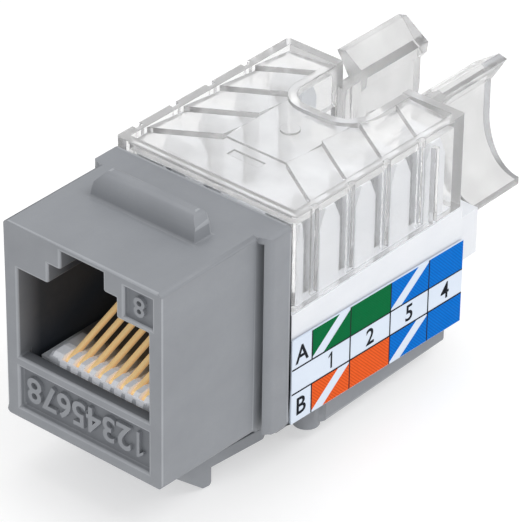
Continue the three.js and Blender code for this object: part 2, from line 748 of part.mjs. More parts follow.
function wireCap() {
  const half = CAP_WIDTH / 2;
  const inner = half - CAP_WALL;
  const ceiling = CAP_FLOOR - CAP_SHEET;
  const lane = CAP_FRONT + LANE_FRONT;
  const round = 0.3;
  const shell = alongZ(
    roundedRect([-half, half], [CAP_FRONT, CAP_BACK], [round, round, round, round]),
    [CAP_BOTTOM, CAP_TOP],
    3,
  );
  const cavityY = [CAP_FRONT + CAP_FRONT_WALL, CAP_BACK - CAP_WALL];
  let cap = shell
    .subtract(block([-inner, inner], cavityY, [CAP_BOTTOM - OVER, ceiling]))
    .subtract(
      block([RIM - half, half - RIM], [CAP_FRONT + RIM, CAP_BACK - RIM], [CAP_FLOOR, CAP_TOP + OVER]),
    )
    .add(grips())
    .add(
      block(centred(LANE_WIDTH), [lane, CAP_BACK - RIM], [
        CAP_FLOOR - CAP_SHEET / 2,
        CAP_FLOOR + LANE_RISE,
      ]),
    );
  const entryWall = alongZ(entryOutline(ENTRY_WALL), [
    CAP_FLOOR - ENTRY_WALL_DEPTH,
    CAP_FLOOR + GRIP_RISE,
  ]);
  const behind = block([-half, half], [CAP_BACK - CAP_WALL / 2, CAP_BACK + 2 * OVER], [
    0,
    CAP_TOP + OVER,
  ]);
  cap = cap
    .add(entryWall.subtract(behind))
    .subtract(alongZ(entryOutline(0), [CAP_BOTTOM - OVER, CAP_TOP + OVER]));
  const gate = new THREE.CylinderGeometry(GATE_RADIUS, GATE_RADIUS, 0.3, 20);
  gate.rotateX(Math.PI / 2);
  gate.translate(0, lane + GATE_SETBACK, CAP_FLOOR + LANE_RISE);
  cap = cap.add(toSolid(gate));
  cap = cap.subtract(
    block(centred(LANE_WIDTH / 2), [lane - 1.6, lane - 0.8], [CAP_FLOOR - 0.15, CAP_TOP]),
  );
  for (const side of [-1, 1]) {
    const skin = [side * (half - GROOVE_DEPTH), side * (half + OVER)].sort((a, b) => a - b);
    for (let i = 0; i < GRIP_COUNT; i++) {
      const y = gripFront(i);
      cap = cap.subtract(block(skin, [y - GROOVE_WIDTH, y], [CAP_BOTTOM + 0.6, CAP_TOP + OVER]));
    }
    const tab = CAP_BACK - TAB_LENGTH;
    const wall = [side * (inner - GAP), side * (half + OVER)].sort((a, b) => a - b);
    cap = cap.subtract(
      block(wall, [tab - TAB_SLOT, tab], [CAP_BOTTOM - OVER, CAP_FLOOR - 2 * CAP_SHEET]),
    );
  }
  return cap;
}

// ---------------------------------------------------------------- cable arms
// The right-hand arm: an upright plate, a lip on top, and a lower edge that flares outwards.
function cableArm() {
  const root = CAP_BOTTOM + ARM_ROOT_RISE;
  const heel = CAP_FLOOR - LIP.heel;
  const nose = CAP_FLOOR - LIP.nose;
  const plate = outline([
    [ARM_INNER, root],
    [ARM_OUTER, root],
    [ARM_OUTER, heel + 1],
    [ARM_INNER, heel + 1],
  ]);
  const [footLow, footHigh] = ARM_FOOT.map((drop) => CAP_FLOOR - drop);
  const straight = CAP_FLOOR - ARM_STRAIGHT;
  const flare = new THREE.Shape();
  flare.moveTo(ARM_OUTER, heel + 1);
  flare.lineTo(ARM_INNER, heel + 1);
  flare.lineTo(ARM_INNER, straight);
  flare.absellipse(
    ARM_FOOT_X,
    straight,
    ARM_FOOT_X - ARM_INNER,
    straight - footLow,
    Math.PI,
    1.5 * Math.PI,
    false,
  );
  flare.lineTo(ARM_FOOT_X, footHigh);
  flare.absellipse(
    ARM_FOOT_X,
    straight,
    ARM_FOOT_X - ARM_OUTER,
    straight - footHigh,
    1.5 * Math.PI,
    Math.PI,
    true,
  );
  const lip = outline([
    [ARM_INNER, heel],
    [ARM_OUTER, heel + 0.7],
    [LIP.outerX, nose + LIP.rise - 0.2],
    [LIP.outerX - 0.75, nose + LIP.rise],
    [LIP.innerX, nose + 0.85],
    [LIP.innerX + 0.1, nose],
  ]);
  const flareFront = BODY_BACK + TAIL_LENGTH + ARM_TAIL_GAP;
  return alongY(plate, [CAP_BACK + GAP, flareFront + OVER])
    .add(alongY(flare, [flareFront, ARM_BACK - 0.15], 7))
    .add(alongY(lip, [CAP_BACK + LIP_SETBACK, ARM_BACK]));
}

// ---------------------------------------------------------------- labels
function label(side) {
  const front = FLANGE_BACK + GAP / 2;
  const fall = SKIRT_SLOPE * (BODY_BACK - front);
  const shape = outline([
    [front, SKIRT_BOTTOM - LABEL_STANDOFF],
    [BODY_BACK, SKIRT_BOTTOM - LABEL_STANDOFF - fall],
    [BODY_BACK, BLOCK_TOP - LABEL_DROP - fall],
    [front, BLOCK_TOP - LABEL_DROP],
  ]);
  const inner = Math.max(SKIRT_WIDTH, BLOCK_WIDTH) / 2 + LABEL_STANDOFF;
  const x = [side * inner, side * (inner + LABEL_THICKNESS)].sort((a, b) => a - b);
  return alongX(shape, x);
}

// ---------------------------------------------------------------- assembly
const group = new THREE.Group();
const layout = new THREE.Group();
group.add(layout);
layout.position.set(0, -ARM_BACK / 2, -LATCH_BOTTOM);
const place = (name, solid, material) => layout.add(toMesh(name, solid, material));

place("housing", housing(), GREY);
place("latch_arm", latchArm(), GREY);
place("contact_carrier", contactCarrier(), PALE_GREY);
for (let i = 0; i < CONTACT_COUNT; i++) place(`contact_${i + 1}`, contact(i), GOLD);
place("circuit_board", circuitBoard(), BOARD_GREEN);
place("idc_block", idcBlock(), WHITE);
for (const [word, side] of [["left", -1], ["right", 1]]) {
  for (let i = 0; i < SLOT_COUNT; i++) {
    place(`terminal_${word}_${i + 1}`, terminal(side, i), TIN);
  }
}
place("wire_cap", wireCap(), CLEAR);
const arm = cableArm();
place("cable_arm_right", arm, CLEAR);
place("cable_arm_left", mirrored(arm), CLEAR);
place("label_left", label(-1), LABEL_PAPER);
place("label_right", label(1), LABEL_PAPER);

export default group;
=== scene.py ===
"""Looks for the keystone jack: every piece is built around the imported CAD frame.

Lengths in this file are millimetres in the layout frame that the part is drawn in: X across,
Y from the port face towards the cable, Z = 0 on the nose's underside. at() turns them into
the frame's metres.
"""

import math

import bmesh
import bpy
from mathutils import Matrix, Vector


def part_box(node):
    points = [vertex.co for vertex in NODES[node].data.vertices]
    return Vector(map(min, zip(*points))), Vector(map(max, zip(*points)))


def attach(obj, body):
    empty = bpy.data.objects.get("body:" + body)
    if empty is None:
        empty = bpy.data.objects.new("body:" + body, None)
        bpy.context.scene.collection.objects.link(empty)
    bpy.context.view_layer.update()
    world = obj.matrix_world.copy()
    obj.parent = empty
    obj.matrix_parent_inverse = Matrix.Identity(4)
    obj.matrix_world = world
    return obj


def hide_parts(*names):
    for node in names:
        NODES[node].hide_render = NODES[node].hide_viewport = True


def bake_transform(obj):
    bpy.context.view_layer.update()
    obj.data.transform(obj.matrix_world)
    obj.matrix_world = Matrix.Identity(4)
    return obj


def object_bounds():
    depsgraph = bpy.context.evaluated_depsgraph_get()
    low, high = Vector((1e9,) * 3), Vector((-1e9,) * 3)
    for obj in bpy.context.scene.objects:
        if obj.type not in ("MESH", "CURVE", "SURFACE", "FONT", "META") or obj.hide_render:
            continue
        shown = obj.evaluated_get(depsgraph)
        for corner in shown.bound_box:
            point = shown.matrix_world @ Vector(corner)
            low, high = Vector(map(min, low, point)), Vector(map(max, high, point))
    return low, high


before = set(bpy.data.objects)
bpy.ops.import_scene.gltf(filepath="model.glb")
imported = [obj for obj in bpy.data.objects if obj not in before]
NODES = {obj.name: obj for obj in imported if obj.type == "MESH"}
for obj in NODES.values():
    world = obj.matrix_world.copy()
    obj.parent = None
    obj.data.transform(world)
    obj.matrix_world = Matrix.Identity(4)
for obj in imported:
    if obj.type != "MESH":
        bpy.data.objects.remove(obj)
CAD_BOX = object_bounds()

MM = 0.001
LUG_TOP = 17.9  # layout height of the housing's highest point
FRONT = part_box("housing")[0].y
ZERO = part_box("housing")[1].z - LUG_TOP * MM


def at(x, y, z):
    """A point of the layout frame, in the frame's metres."""
    return Vector((x * MM, FRONT + y * MM, ZERO + z * MM))


def layout_of(point):
    """The layout frame's millimetres for a point in metres."""
    return Vector((point.x, point.y - FRONT, point.z - ZERO)) / MM


# ------------------------------------------------------------------ materials
class Shader:
    """A node material under construction."""

    def __init__(self, name):
        self.material = bpy.data.materials.new(name)
        self.material.use_nodes = True
        self.tree = self.material.node_tree
        self.tree.nodes.clear()
        self.out = self.add("ShaderNodeOutputMaterial")
        self.position = self.add("ShaderNodeTexCoord").outputs["Object"]

    def add(self, kind, **settings):
        node = self.tree.nodes.new(kind)
        for key, value in settings.items():
            setattr(node, key, value)
        return node

    def link(self, a, b):
        self.tree.links.new(a, b)

    def noise(self, size, detail=3.0, stretch=(1, 1, 1), roughness=0.5):
        """Noise whose features are about size mm across."""
        source = self.position
        if stretch != (1, 1, 1):
            mapping = self.add("ShaderNodeMapping")
            mapping.inputs["Scale"].default_value = stretch
            self.link(source, mapping.inputs["Vector"])
            source = mapping.outputs["Vector"]
        node = self.add("ShaderNodeTexNoise")
        node.inputs["Scale"].default_value = 1 / (size * MM)
        node.inputs["Detail"].default_value = detail
        node.inputs["Roughness"].default_value = roughness
        self.link(source, node.inputs["Vector"])
        return node.outputs["Fac"]

    def ranged(self, value, low, high, start=0.3, end=0.7):
        """value, spread from low to high."""
        node = self.add("ShaderNodeMapRange")
        limits = {"From Min": start, "From Max": end, "To Min": low, "To Max": high}
        for key, number in limits.items():
            node.inputs[key].default_value = number
        self.link(value, node.inputs["Value"])
        return node.outputs["Result"]

    def mixed(self, factor, a, b):
        """Colours a and b mixed by factor; either may be a socket."""
        node = self.add("ShaderNodeMix", data_type="RGBA")
        colours = [s for s in node.inputs if s.type == "RGBA"]
        for socket, colour in zip(colours, (a, b)):
            if isinstance(colour, tuple):
                socket.default_value = (*colour, 1)
            else:
                self.link(colour, socket)
        self.link(factor, node.inputs[0])
        return next(s for s in node.outputs if s.type == "RGBA")

    def bump(self, heights, distance=0.02):
        """Bump from (height socket, strength) pairs; distance is in mm."""
        normal = None
        for height, strength in heights:
            node = self.add("ShaderNodeBump")
            node.inputs["Strength"].default_value = strength
            node.inputs["Distance"].default_value = distance * MM
            self.link(height, node.inputs["Height"])
            if normal:
                self.link(normal, node.inputs["Normal"])
            normal = node.outputs["Normal"]
        return normal

    def principled(self, colour, roughness, normal=None, **constants):
        node = self.add("ShaderNodeBsdfPrincipled")
        for socket, value in (("Base Color", colour), ("Roughness", roughness)):
            if isinstance(value, tuple):
                node.inputs[socket].default_value = (*value, 1)
            elif isinstance(value, float):
                node.inputs[socket].default_value = value
            else:
                self.link(value, node.inputs[socket])
        if normal:
            self.link(normal, node.inputs["Normal"])
        for key, value in constants.items():
            node.inputs[key.replace("_", " ")].default_value = value
        return node

    def finish(self, surface):
        self.link(surface.outputs[0], self.out.inputs["Surface"])
        return self.material


def linear(red, green, blue):
    """An sRGB colour, 0 to 255, as linear values."""
    return tuple(
        c / 12.92 if c <= 0.04045 else ((c + 0.055) / 1.055) ** 2.4
        for c in (v / 255 for v in (red, green, blue))
    )


def moulded(name, colour, darker, roughness, grain=0.35, specular=0.5, painted_depth_shade=None, **constants):
    """Moulded plastic: faint flow clouding, fine spark-eroded grain and small scuffs.
    deep=(colour, start, end) paints shade into it: it darkens from layout Y start to end, where
    shade falls inside the port."""
    s = Shader(name)
    flow = s.ranged(s.noise(3.2, 3, stretch=(1, 0.45, 1)), 0, 1)
    specks = s.ranged(s.noise(0.16, 2), 0, 1, 0.35, 0.75)
    base = s.mixed(flow, linear(*colour), linear(*darker))
    tone = s.mixed(s.ranged(specks, 0, 0.35, 0, 1), base, linear(*darker))
    # painted shade: the colour darkens with depth into the port
    if painted_depth_shade:
        shade, start, end = painted_depth_shade
        parts = s.add("ShaderNodeSeparateXYZ")
        s.link(s.position, parts.inputs[0])
        depth = s.ranged(parts.outputs["Y"], 0, 1, at(0, start, 0).y, at(0, end, 0).y)
        tone = s.mixed(depth, tone, linear(*shade))
    rough = s.ranged(s.noise(0.9, 4), roughness - 0.05, roughness + 0.07)
    normal = s.bump([(s.noise(0.11, 3), grain), (s.noise(2.5, 2), grain * 0.6)], 0.012)
    return s.finish(
        s.principled(tone, rough, normal, Specular_IOR_Level=specular, **constants)
    )


CLEAR_INDEX = 1.28
SHADOW_TINT = (0.97, 0.97, 0.97, 1)


def clear_plastic(name, light, dark, clearness, roughness=0.02):
    """Clear plastic, partly milky. Lamps shine through it, so what stands inside stays lit. Its
    refractive index is lower than polycarbonate's, which keeps the edges from turning black."""
    s = Shader(name)
    rough = s.ranged(s.noise(1.4, 3), roughness, roughness + 0.07)
    normal = s.bump([(s.noise(2.2, 2, stretch=(1, 0.5, 1)), 0.55), (s.noise(0.35, 3), 0.12)], 0.05)
    tint = s.mixed(s.ranged(s.noise(2.6, 3), 0, 1), linear(*light), linear(*dark))
    glass = s.principled(tint, rough, normal, IOR=CLEAR_INDEX, Transmission_Weight=clearness)
    through = s.add("ShaderNodeBsdfTransparent")
    through.inputs["Color"].default_value = SHADOW_TINT
    path = s.add("ShaderNodeLightPath")
    mix = s.add("ShaderNodeMixShader")
    s.link(path.outputs["Is Shadow Ray"], mix.inputs[0])
    s.link(glass.outputs[0], mix.inputs[1])
    s.link(through.outputs[0], mix.inputs[2])
    return s.finish(mix)


def plated(name, colour, warmer, roughness, drawn, metallic=1.0, glow=0.0, shaded_flank=None):
    """Plated metal with fine drawing marks, stretched by drawn. flank is a darker colour painted
    as shade on faces that don't look up; glow is painted light, standing for light gathered inside
    the dark port."""
    s = Shader(name)
    tone = s.mixed(s.ranged(s.noise(0.7, 3), 0, 1), linear(*colour), linear(*warmer))
    marks = s.noise(0.12, 2, stretch=drawn)
    rough = s.ranged(s.noise(0.4, 3), roughness - 0.06, roughness + 0.1)
    normal = s.bump([(marks, 0.04)], 0.002)
    # painted shade: faces that don't look up take the darker flank colour
    if shaded_flank:
        parts = s.add("ShaderNodeSeparateXYZ")
        s.link(s.add("ShaderNodeTexCoord").outputs["Normal"], parts.inputs[0])
        upward = s.ranged(parts.outputs["Z"], 0, 1, 0.15, 0.75)
        tone = s.mixed(upward, linear(*shaded_flank), tone)
    surface = s.principled(tone, rough, normal, Metallic=metallic)
    if glow:
        surface.inputs["Emission Color"].default_value = (*linear(*warmer), 1)
        surface.inputs["Emission Strength"].default_value = glow
    return s.finish(surface)


def hatched(name, colour, darker, pitch, depth):
    """Printed ink with fine diagonal screen lines, pitch mm apart."""
    s = Shader(name)
    parts = s.add("ShaderNodeSeparateXYZ")
    s.link(s.position, parts.inputs[0])
    slant = s.add("ShaderNodeMath", operation="ADD")
    s.link(parts.outputs["Y"], slant.inputs[0])
    s.link(parts.outputs["Z"], slant.inputs[1])
    turn = s.add("ShaderNodeMath", operation="MULTIPLY")
    s.link(slant.outputs[0], turn.inputs[0])
    turn.inputs[1].default_value = 2 * math.pi / (pitch * math.sqrt(2) * MM)
    wave = s.add("ShaderNodeMath", operation="SINE")
    s.link(turn.outputs[0], wave.inputs[0])
    lines = s.ranged(wave.outputs[0], 0, depth, -0.3, 0.9)
    tone = s.mixed(lines, linear(*colour), linear(*darker))
    patchy = s.mixed(s.ranged(s.noise(0.25, 3), 0, 0.25), tone, linear(*darker))
    rough = s.ranged(s.noise(0.6, 3), 0.38, 0.5)
    return s.finish(s.principled(patchy, rough, Specular_IOR_Level=0.02))


def circuit_laminate(name):
    """Green solder mask with faint tracks under it."""
    s = Shader(name)
    tracks = s.ranged(s.noise(0.9, 0, stretch=(1, 0.2, 1)), 0, 1, 0.48, 0.52)
    tone = s.mixed(tracks, linear(20, 84, 48), linear(34, 108, 62))
    rough = s.ranged(s.noise(0.5, 3), 0.25, 0.4)
    normal = s.bump([(tracks, 0.3)], 0.02)
    return s.finish(s.principled(tone, rough, normal))


GREY = moulded("grey_moulding", (139, 142, 147), (132, 135, 140), 0.5, 0.3)
# the port's inside: grey darkened towards the back with painted shade
PORT_GREY_SHADED = moulded(
    "grey_port_painted_shade", (134, 137, 142), (128, 131, 136), 0.55, 0.3, painted_depth_shade=((48, 54, 63), -0.3, 2.3)
)
# the contact carrier: pale plastic darkened behind the comb's teeth with painted shade, deep in the
# port
PALE_SHADED = moulded(
    "pale_moulding_painted_shade", (236, 239, 244), (226, 230, 237), 0.4, 0.18, painted_depth_shade=((84, 84, 86), 4.2, 6.2)
)
# the comb's lip and teeth: near-white plastic with a faint emission, painted light that brightens
# their fronts
PALE_FRONT_GLOWING = moulded(
    "pale_front_painted_glow",
    (250, 251, 255),
    (240, 243, 248),
    0.4,
    0.1,
    Emission_Color=(0.9, 0.93, 1.0, 1.0),
    Emission_Strength=0.16,
)
WHITE = moulded("white_moulding", (230, 232, 236), (222, 225, 230), 0.42, 0.2)
CLEAR = clear_plastic("clear_moulding", (252, 252, 252), (247, 247, 247), 0.87)
FROSTED = clear_plastic("frosted_deck", (250, 250, 250), (238, 238, 238), 0.66, 0.06)
# greyer, less clear plastic for the cap's and arms' rounded edges: painted shade that darkens them
CLEAR_EDGE_SHADED = clear_plastic("clear_edge_painted_shade", (184, 184, 184), (158, 158, 158), 0.66, 0.03)
# greyer clear plastic for the cap top's faces that don't look up: painted shade
CLEAR_RISER_SHADED = clear_plastic("clear_riser_painted_shade", (206, 206, 206), (190, 190, 190), 0.6, 0.04)
CLEAR_ARM = clear_plastic("clear_arm", (230, 230, 230), (216, 216, 216), 0.8, 0.04)
# lighter grey for the housing's rounded convex edges: a painted highlight
GREY_EDGE_HIGHLIGHT = moulded("grey_painted_edge_highlight", (161, 164, 169), (152, 155, 160), 0.45, 0.15)
# rougher, grainier grey for the recessed panels, darkened with painted shade in the recesses
GREY_PANEL_SHADED = moulded("grey_panel_painted_shade", (118, 121, 126), (110, 113, 118), 0.62, 0.45)
# gold plating with a glow of painted light and painted shade on faces that don't look up
GOLD = plated(
    "gold_plating",
    (255, 226, 172),
    (255, 214, 150),
    roughness=0.34,
    drawn=(2, 0.15, 0.3),
    metallic=0.2,
    glow=0.32,
    shaded_flank=(186, 134, 84),
)
TIN = plated("tin_plating", (168, 170, 174), (142, 145, 150), roughness=0.34, drawn=(1, 2, 0.2))
LAMINATE = circuit_laminate("solder_mask")
PAPER = moulded("label_film", (216, 226, 239), (209, 220, 235), 0.45, 0.08)
INK_BLACK = moulded("ink_black", (14, 18, 26), (20, 26, 36), 0.6, 0.05, specular=0.1)
INK_GREEN = hatched("ink_green", (0, 106, 58), (0, 92, 48), 0.16, 0.35)
INK_BLUE = hatched("ink_blue", (0, 116, 208), (0, 90, 180), 0.2, 0.8)
INK_ORANGE = hatched("ink_orange", (236, 98, 40), (198, 74, 28), 0.2, 0.8)
INK_BROWN = hatched("ink_brown", (118, 74, 48), (92, 56, 34), 0.2, 0.8)


# ------------------------------------------------------------------ mesh helpers
def new_object(name, mesh, *materials):
    obj = bpy.data.objects.new(name, mesh)
    bpy.context.scene.collection.objects.link(obj)
    if mesh.materials:
        mesh.materials.clear()
    for material in materials:
        mesh.materials.append(material)
    return obj


def settle(obj):
    """Puts the object's modifiers into its mesh."""
    bpy.context.view_layer.update()
    evaluated = obj.evaluated_get(bpy.context.evaluated_depsgraph_get())
    mesh = bpy.data.meshes.new_from_object(evaluated)
    obj.modifiers.clear()
    obj.data = mesh
    return obj


def smooth(obj, angle=40):
    """Smooth shading that breaks at edges sharper than angle, with flat faces kept flat."""
    mesh = obj.data
    mesh.shade_smooth()
    mesh.set_sharp_from_angle(angle=math.radians(angle))
    weighted = obj.modifiers.new("weighted", "WEIGHTED_NORMAL")
    weighted.keep_sharp = True
    weighted.weight = 80
    return settle(obj)


def cleaned(bm, dissolve=1.0):
    bmesh.ops.remove_doubles(bm, verts=bm.verts, dist=0.002 * MM)
    bmesh.ops.dissolve_limit(
        bm, angle_limit=math.radians(dissolve), verts=bm.verts, edges=bm.edges
    )


def carve(mesh, slots):
    """mesh with slots cut out of it. Each is an outline in x and y, and the two heights that it
    runs between."""
    obj = bpy.data.objects.new("carved", mesh)
    bpy.context.scene.collection.objects.link(obj)
    for outline, bottom, top in slots:
        place = axes(at(0, 0, bottom), (1, 0, 0), (0, 1, 0))
        place.translation = Vector((0, FRONT, place.translation.z))
        cutter = prism("cutter", outline, place, top - bottom, None)
        modifier = obj.modifiers.new("cut", "BOOLEAN")
        modifier.object = cutter
        modifier.solver = "EXACT"
        settle(obj)
        bpy.data.objects.remove(cutter)
    mesh = obj.data
    bpy.data.objects.remove(obj)
    return mesh


def round_edges(bm, width, angle=30, segments=2, chosen=None, clamp=True, painted_edge_slot=-1):
    """Rounds the edges sharper than angle; chosen(edge) may leave some out. The rounded
    faces of convex edges take the material slot painted_edge_slot, which paints light or shade onto
    them."""
    edges = [
        e
        for e in bm.edges
        if e.is_manifold
        and e.calc_face_angle(0) > math.radians(angle)
        and (chosen is None or chosen(e))
    ]
    bmesh.ops.bevel(
        bm,
        geom=edges,
        offset=width * MM,
        offset_type="OFFSET",
        segments=segments,
        profile=0.5,
        affect="EDGES",
        clamp_overlap=clamp,
        material=painted_edge_slot,
    )
    if painted_edge_slot > 0:
        for face in bm.faces:
            if face.material_index == painted_edge_slot:
                longest = max(face.edges, key=lambda e: e.calc_length())
                if not longest.is_convex:
                    face.material_index = 0
    bmesh.ops.remove_doubles(bm, verts=bm.verts, dist=0.001 * MM)


def from_node(node, name, materials, width, angle=30, move=None, slots=(), **rounding):
    """A detailed copy of a CAD node, with its points moved by move, slots carved into it, its
    edges rounded and smooth shading. Of two materials, the second is the rounded edges': painted
    light or shade on them."""
    if not isinstance(materials, tuple):
        materials = (materials,)
    bm = bmesh.new()
    bm.from_mesh(NODES[node].data)
    cleaned(bm)
    if slots:
        plain = bpy.data.meshes.new(name)
        bm.to_mesh(plain)
        bm.clear()
        bm.from_mesh(carve(plain, slots))
        cleaned(bm)
    for face in bm.faces:
        face.material_index = 0
    if move:
        for v in bm.verts:
            v.co = move(v.co)
    if width:
        painted_edge_slot = 1 if len(materials) > 1 else -1
        round_edges(bm, width, angle, painted_edge_slot=painted_edge_slot, **rounding)
    mesh = bpy.data.meshes.new(name)
    bm.to_mesh(mesh)
    bm.free()
    return smooth(new_object(name, mesh, *materials))


def joined(name, parts):
    """One object from several, with all their materials."""
    bpy.context.view_layer.update()
    mesh = bpy.data.meshes.new(name)
    bm = bmesh.new()
    materials = []
    for part in parts:
        start = len(bm.faces)
        copy = part.data.copy()
        copy.transform(part.matrix_world)
        bm.from_mesh(copy)
        bm.faces.ensure_lookup_table()
        slots = [m for m in part.data.materials]
        for material in slots:
            if material not in materials:
                materials.append(material)
        for face in bm.faces[start:]:
            face.material_index = materials.index(slots[face.material_index])
        bpy.data.objects.remove(part)
    bm.to_mesh(mesh)
    bm.free()
    return new_object(name, mesh, *materials)


def slice_across(obj, places, direction):
    """Cuts the faces of obj at the given points, with planes across direction."""
    bm = bmesh.new()
    bm.from_mesh(obj.data)
    for place in places:
        bmesh.ops.bisect_plane(
            bm, geom=bm.verts[:] + bm.edges[:] + bm.faces[:], plane_co=place, plane_no=direction
        )
    bm.to_mesh(obj.data)
    bm.free()


def prism(name, outline, frame_matrix, depth, material):
    """A plate with the given outline (x, y in mm) in frame_matrix's plane, depth mm thick
    along its +Z."""
    bm = bmesh.new()
    lower = [bm.verts.new(frame_matrix @ Vector((x * MM, y * MM, 0))) for x, y in outline]
    upper = [
        bm.verts.new(frame_matrix @ Vector((x * MM, y * MM, depth * MM))) for x, y in outline
    ]
    bm.faces.new(list(reversed(lower)))
    bm.faces.new(upper)
    for i in range(len(outline)):
        j = (i + 1) % len(outline)
        bm.faces.new((lower[i], lower[j], upper[j], upper[i]))
    bmesh.ops.recalc_face_normals(bm, faces=bm.faces)
    mesh = bpy.data.meshes.new(name)
    bm.to_mesh(mesh)
    bm.free()
    return new_object(name, mesh, *([material] if material else []))


# a "1" of height 1, as the built-in font's has no flag
FLAGGED_ONE = [
    (-0.03, -0.5),
    (0.09, -0.5),
    (0.09, 0.5),
    (0.02, 0.5),
    (-0.2, 0.3),
    (-0.2, 0.2),
    (-0.03, 0.33),
]


def figure(name, text, height, frame_matrix, depth, material, bevel=0.0, bold=0.0):
    """A raised character, centred on frame_matrix's origin, height mm tall, standing depth mm
    along its +Z. bevel and bold are shares of the font's size."""
    if text == "1":
        outline = [(u * height, v * height) for u, v in FLAGGED_ONE]
        return prism(name, outline, frame_matrix, depth, material)
    curve = bpy.data.curves.new(name, "FONT")
    curve.body = text
    curve.offset = bold
    curve.align_x = "CENTER"
    curve.align_y = "CENTER"
    curve.resolution_u = 4
    curve.extrude = 0.5
    curve.bevel_depth = bevel
    curve.bevel_resolution = 1
    obj = bpy.data.objects.new(name, curve)
    bpy.context.scene.collection.objects.link(obj)
    bpy.context.view_layer.update()
    mesh = bpy.data.meshes.new_from_object(
        obj.evaluated_get(bpy.context.evaluated_depsgraph_get())
    )
    bpy.data.objects.remove(obj)
    low = [min(v.co[i] for v in mesh.vertices) for i in range(3)]
    high = [max(v.co[i] for v in mesh.vertices) for i in range(3)]
    scale = height / (high[1] - low[1])
    for v in mesh.vertices:
        v.co = frame_matrix @ (
            Vector(
                (
                    (v.co.x - (low[0] + high[0]) / 2) * scale,
                    (v.co.y - (low[1] + high[1]) / 2) * scale,
                    (v.co.z - low[2]) / (high[2] - low[2]) * depth,
                )
            )
            * MM
        )
    bm = bmesh.new()
    bm.from_mesh(mesh)
    bmesh.ops.remove_doubles(bm, verts=bm.verts, dist=0.001 * MM)
    bmesh.ops.recalc_face_normals(bm, faces=bm.faces)
    bm.to_mesh(mesh)
    bm.free()
    return new_object(name, mesh, material)


def axes(origin, x_axis, y_axis):
    """A matrix whose X and Y lie along the given directions."""
    x = Vector(x_axis).normalized()
    y = Vector(y_axis).normalized()
    matrix = Matrix((x, y, x.cross(y))).transposed().to_4x4()
    matrix.translation = origin
    return matrix


# ------------------------------------------------------------------ housing
EDGE_ROUND = 0.18
SHORTEST_ROUNDED = 0.3  # length of an edge
NOSE_HALF = 7.25
FLANGE_HALF = 8.2
GROOVE_FRONT = 9.7  # just before the flange's front face
GROOVE_BACK = 11.2
GROOVE_HEIGHTS = (-1.6, 15.5)
# the housing's material slots
PORT_SHADE_SLOT = 2
PANEL_SHADE_SLOT = 3
# the port's inside, from a little behind the port face, which takes painted shade
PORT_HALF = 6.2
PORT_DEPTHS = (0.15, 12.5)
PORT_HEIGHTS = (4.9, 15.7)
# the recessed panels, and the digits on them
PANEL_DEPTHS = (0.3, 0.6)
PANEL_BACK = 0.55
PANEL_DIGIT = 2.1
FIRST_DIGIT = (4.9, 2.61)
DIGIT_PITCH = 1.4
SMALL_PANEL_BACK = 0.4
SMALL_DIGIT = 1.55
SMALL_DIGIT_PLACE = (5.12, 14.05)
RAISED = 0.3
DIGIT_SINK = 0.02  # how far a digit's back goes into its panel


def raised_digit(name, text, x, z, height, back):
    """A raised digit on the port face, upside down as the latch notch is up."""
    place = axes(at(x, back + DIGIT_SINK, z), (-1, 0, 0), (0, 0, -1))
    return figure(name, text, height, place, RAISED, GREY, bevel=0.015)


def worth_rounding(edge):
    """Whether to round an edge: not the shortest ones, nor those in the groove."""
    middle = layout_of((edge.verts[0].co + edge.verts[1].co) / 2)
    in_groove = (
        NOSE_HALF - 0.05 < abs(middle.x) < FLANGE_HALF - 0.1
        and GROOVE_FRONT <= middle.y < GROOVE_BACK + 0.1
        and middle.z < GROOVE_HEIGHTS[1] + 0.1
    )
    return edge.calc_length() > SHORTEST_ROUNDED * MM and not in_groove


# the groove between the nose's sides and the flange, whose inner edge it rounds off
GROOVE_OUTLINE = [
    (NOSE_HALF - 0.01, GROOVE_BACK),
    (NOSE_HALF - 0.01, GROOVE_FRONT),
    (FLANGE_HALF - 0.2, GROOVE_FRONT),
    (FLANGE_HALF - 0.22, 9.82),
    (FLANGE_HALF - 0.34, 9.86),
    (FLANGE_HALF - 0.43, 9.95),
    (FLANGE_HALF - 0.48, 10.12),
    (FLANGE_HALF - 0.5, GROOVE_BACK),
]
housing = from_node(
    "housing",
    "housing_shell",
    (GREY, GREY_EDGE_HIGHLIGHT),
    EDGE_ROUND,
    slots=[([(side * x, y) for x, y in GROOVE_OUTLINE], *GROOVE_HEIGHTS) for side in (-1, 1)],
    chosen=worth_rounding,
    clamp=False,
)
housing.data.materials.append(PORT_GREY_SHADED)
housing.data.materials.append(GREY_PANEL_SHADED)
# faces inside the port take the grey with painted shade
for face in housing.data.polygons:
    middle = layout_of(face.center)
    if (
        abs(middle.x) < PORT_HALF
        and PORT_DEPTHS[0] < middle.y < PORT_DEPTHS[1]
        and PORT_HEIGHTS[0] < middle.z < PORT_HEIGHTS[1]
    ):
        face.material_index = PORT_SHADE_SLOT
    # the recessed panels' fronts take the darker panel grey, painted shade
    elif PANEL_DEPTHS[0] < middle.y < PANEL_DEPTHS[1] and face.normal.y < -0.9:
        face.material_index = PANEL_SHADE_SLOT

digits = []
for i in range(8):
    x, z = FIRST_DIGIT[0] - DIGIT_PITCH * i, FIRST_DIGIT[1]
    digits.append(raised_digit(f"digit_{i}", str(i + 1), x, z, PANEL_DIGIT, PANEL_BACK))
digits.append(raised_digit("digit_small", "8", *SMALL_DIGIT_PLACE, SMALL_DIGIT, SMALL_PANEL_BACK))
digits = joined("housing_digits", digits)
smooth(digits, 35)
for piece in (housing, digits):
    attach(piece, "base")
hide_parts("housing")

# ------------------------------------------------------------------ latch
LATCH_ROOT_INTO = 0.5
LATCH_ROOT_LOWEST = -0.45
LATCH_ROOT_BACK = 3
LATCH_SLICES = (0.0, -0.2, -0.4, -0.6, -0.8)


